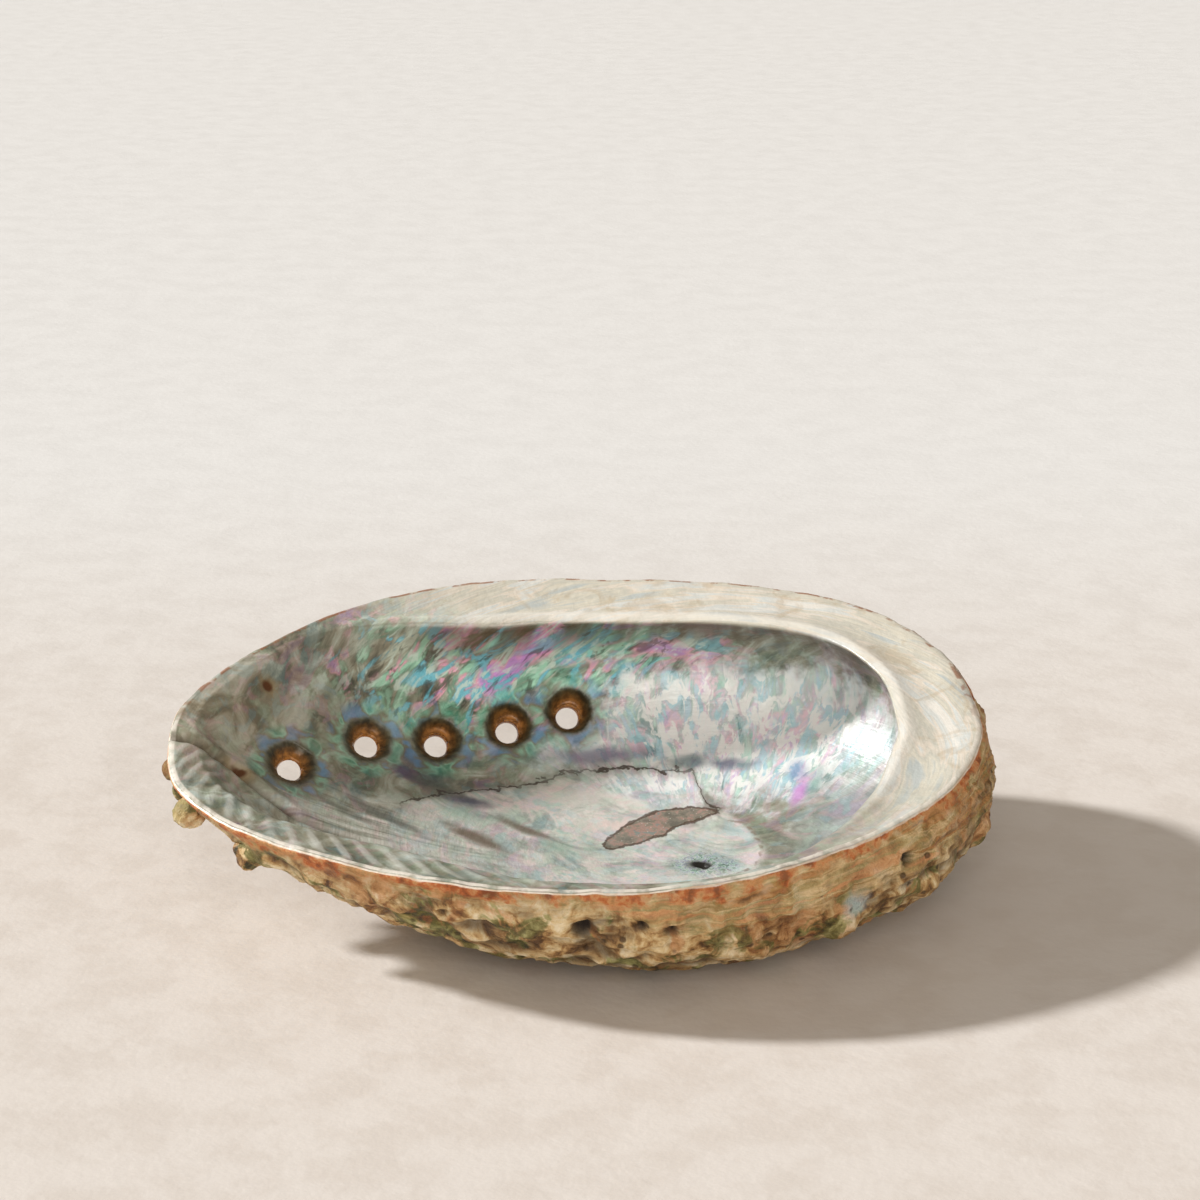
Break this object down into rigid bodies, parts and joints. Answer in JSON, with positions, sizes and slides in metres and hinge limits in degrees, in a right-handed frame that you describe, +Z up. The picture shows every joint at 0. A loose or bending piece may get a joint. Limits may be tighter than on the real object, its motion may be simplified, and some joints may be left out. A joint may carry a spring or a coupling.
{
  "type": "abalone shell",
  "caption": "Empty ear-shaped sea shell resting mouth up, with a pearly bowl, a broad inner shelf, a row of breathing pores and a rough outside.",
  "frame": {"origin": "middle of the underside: the centre of the shell's plan outline, on the plane of the worn patch it rests on", "axes": "+X along the shell's length towards the spire end, +Y across its width towards the shelf side, +Z up out of the mouth"},
  "size_m": [0.1446, 0.1093, 0.0399],
  "materials": {
    "nacre": "pearly inside, rough mineral crust outside"
  },
  "bodies": {
    "root": {"shell": "nacre"}
  },
  "joints": []
}
